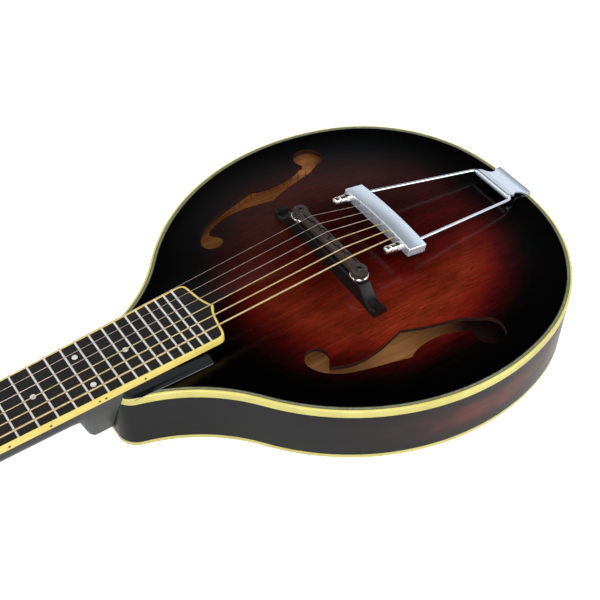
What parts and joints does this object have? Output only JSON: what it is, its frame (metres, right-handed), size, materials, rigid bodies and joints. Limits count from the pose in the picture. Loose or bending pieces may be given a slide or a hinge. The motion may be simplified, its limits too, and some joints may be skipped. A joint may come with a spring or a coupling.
{
  "type": "mando guitar",
  "caption": "Short-scale six-string guitar with a teardrop arched-top body, f-shaped sound holes, thumbwheel bridge, trapeze tailpiece and open-gear tuners.",
  "frame": {"origin": "on the back's outer face, on the centre line, under the nominal bridge line", "axes": "+X from the headstock to the tail, +Y to the treble side, +Z out of the top"},
  "size_m": [0.6954, 0.2836, 0.0806],
  "materials": {
    "stained_top": "glossy dark cherry lacquer",
    "stained_side": "glossy near-black cherry lacquer",
    "bare_wood": "unfinished",
    "cream": "aged cream binding",
    "purfling": "dark layered lines",
    "black_lacquer": "gloss black",
    "ebony": "satin black",
    "rosewood": "satin dark",
    "bone": "satin ivory",
    "nickel": "plated",
    "chrome": "polished",
    "steel": "plain",
    "plain_string": "drawn wire",
    "wound_string": "bronze wrap"
  },
  "bodies": {
    "root": {"top_plate": "stained_top", "back_plate": "stained_side", "bass_side": "stained_side", "treble_side": "stained_side", "head_block": "bare_wood", "tail_block": "bare_wood", "bass_top_lining": "bare_wood", "treble_top_lining": "bare_wood", "bass_back_lining": "bare_wood", "treble_back_lining": "bare_wood", "bass_tone_bar": "bare_wood", "treble_tone_bar": "bare_wood", "top_binding": "cream", "top_purfling": "purfling", "back_binding": "cream", "end_pin": "black_lacquer", "neck": "black_lacquer", "truss_rod": "steel", "fretboard": "ebony", "fretboard_binding": "cream", "nut": "bone", "extension_riser": "black_lacquer", "headstock_veneer": "black_lacquer", "truss_rod_cover": "ebony", "bass_tuner_plate": "nickel", "treble_tuner_plate": "nickel", "bridge_base": "ebony", "bass_bridge_post": "nickel", "treble_bridge_post": "nickel", "tailpiece_bracket": "chrome", "bass_bracket_screw": "nickel", "treble_bracket_screw": "nickel", "string_1": "plain_string", "string_2": "plain_string", "string_3": "plain_string", "string_4": "wound_string", "string_5": "wound_string", "string_6": "wound_string"},
    "saddle": {"bridge_saddle": "rosewood"},
    "bass_wheel": {"bass_thumbwheel": "nickel"},
    "treble_wheel": {"treble_thumbwheel": "nickel"},
    "trapeze": {"bass_tailpiece_rod": "chrome", "treble_tailpiece_rod": "chrome", "tailpiece_bar": "chrome", "bass_hex_nut": "nickel", "treble_hex_nut": "nickel", "bass_cap_nut": "nickel", "treble_cap_nut": "nickel"},
    "tuner_post_1": {"tuner_post_1": "nickel"},
    "tuner_key_1": {"tuner_key_1": "bone"},
    "tuner_post_2": {"tuner_post_2": "nickel"},
    "tuner_key_2": {"tuner_key_2": "bone"},
    "tuner_post_3": {"tuner_post_3": "nickel"},
    "tuner_key_3": {"tuner_key_3": "bone"},
    "tuner_post_4": {"tuner_post_4": "nickel"},
    "tuner_key_4": {"tuner_key_4": "bone"},
    "tuner_post_5": {"tuner_post_5": "nickel"},
    "tuner_key_5": {"tuner_key_5": "bone"},
    "tuner_post_6": {"tuner_post_6": "nickel"},
    "tuner_key_6": {"tuner_key_6": "bone"}
  },
  "joints": [
    {"name": "bridge_saddle_lift", "type": "slide", "parent": "root", "child": "saddle", "axis": [0, 0, 1], "range_m": [-0.001, 0.002]},
    {"name": "treble_thumbwheel_spin", "type": "hinge", "parent": "saddle", "child": "treble_wheel", "pos_m": [0.0029, 0.0353, 0.0721], "axis": [0, 0, 1], "range_deg": [-720, 1440]},
    {"name": "bass_thumbwheel_spin", "type": "hinge", "parent": "saddle", "child": "bass_wheel", "pos_m": [0.0029, -0.0353, 0.0721], "axis": [0, 0, 1], "range_deg": [-720, 1440]},
    {"name": "tailpiece_hinge", "type": "hinge", "parent": "root", "child": "trapeze", "pos_m": [0.1545, 0, 0.0556], "axis": [0, 1, 0], "range_deg": [-3, 25], "stiffness_Nm_per_rad": 5},
    {"name": "tuner_key_1_spin", "type": "hinge", "parent": "root", "child": "tuner_key_1", "pos_m": [-0.38779, 0.022, 0.02092], "axis": [0, 1, 0], "continuous": true},
    {"name": "tuner_post_1_spin", "type": "hinge", "parent": "root", "child": "tuner_post_1", "pos_m": [-0.39893, 0.022, 0.03818], "axis": [-0.1954, 0, 0.9807], "continuous": true, "deforming": ["string_1"]},
    {"name": "tuner_key_2_spin", "type": "hinge", "parent": "root", "child": "tuner_key_2", "pos_m": [-0.42506, 0.022, 0.0135], "axis": [0, 1, 0], "continuous": true},
    {"name": "tuner_post_2_spin", "type": "hinge", "parent": "root", "child": "tuner_post_2", "pos_m": [-0.43619, 0.022, 0.03076], "axis": [-0.1954, 0, 0.9807], "continuous": true, "deforming": ["string_2"]},
    {"name": "tuner_key_3_spin", "type": "hinge", "parent": "root", "child": "tuner_key_3", "pos_m": [-0.46232, 0.022, 0.00607], "axis": [0, 1, 0], "continuous": true},
    {"name": "tuner_post_3_spin", "type": "hinge", "parent": "root", "child": "tuner_post_3", "pos_m": [-0.47346, 0.022, 0.02333], "axis": [-0.1954, 0, 0.9807], "continuous": true, "deforming": ["string_3"]},
    {"name": "tuner_key_4_spin", "type": "hinge", "parent": "root", "child": "tuner_key_4", "pos_m": [-0.46232, -0.022, 0.00607], "axis": [0, 1, 0], "continuous": true},
    {"name": "tuner_post_4_spin", "type": "hinge", "parent": "root", "child": "tuner_post_4", "pos_m": [-0.47346, -0.022, 0.02333], "axis": [-0.1954, 0, 0.9807], "continuous": true, "deforming": ["string_4"]},
    {"name": "tuner_key_5_spin", "type": "hinge", "parent": "root", "child": "tuner_key_5", "pos_m": [-0.42506, -0.022, 0.0135], "axis": [0, 1, 0], "continuous": true},
    {"name": "tuner_post_5_spin", "type": "hinge", "parent": "root", "child": "tuner_post_5", "pos_m": [-0.43619, -0.022, 0.03076], "axis": [-0.1954, 0, 0.9807], "continuous": true, "deforming": ["string_5"]},
    {"name": "tuner_key_6_spin", "type": "hinge", "parent": "root", "child": "tuner_key_6", "pos_m": [-0.38779, -0.022, 0.02092], "axis": [0, 1, 0], "continuous": true},
    {"name": "tuner_post_6_spin", "type": "hinge", "parent": "root", "child": "tuner_post_6", "pos_m": [-0.39893, -0.022, 0.03818], "axis": [-0.1954, 0, 0.9807], "continuous": true, "deforming": ["string_6"]}
  ],
  "couplings": [
    {"joint": "treble_thumbwheel_spin", "follows": "bridge_saddle_lift", "rad_per_m": 12566},
    {"joint": "bass_thumbwheel_spin", "follows": "bridge_saddle_lift", "rad_per_m": 12566},
    {"joint": "tuner_post_1_spin", "follows": "tuner_key_1_spin", "ratio": -0.071429},
    {"joint": "tuner_post_2_spin", "follows": "tuner_key_2_spin", "ratio": -0.071429},
    {"joint": "tuner_post_3_spin", "follows": "tuner_key_3_spin", "ratio": -0.071429},
    {"joint": "tuner_post_4_spin", "follows": "tuner_key_4_spin", "ratio": -0.071429},
    {"joint": "tuner_post_5_spin", "follows": "tuner_key_5_spin", "ratio": -0.071429},
    {"joint": "tuner_post_6_spin", "follows": "tuner_key_6_spin", "ratio": -0.071429}
  ]
}
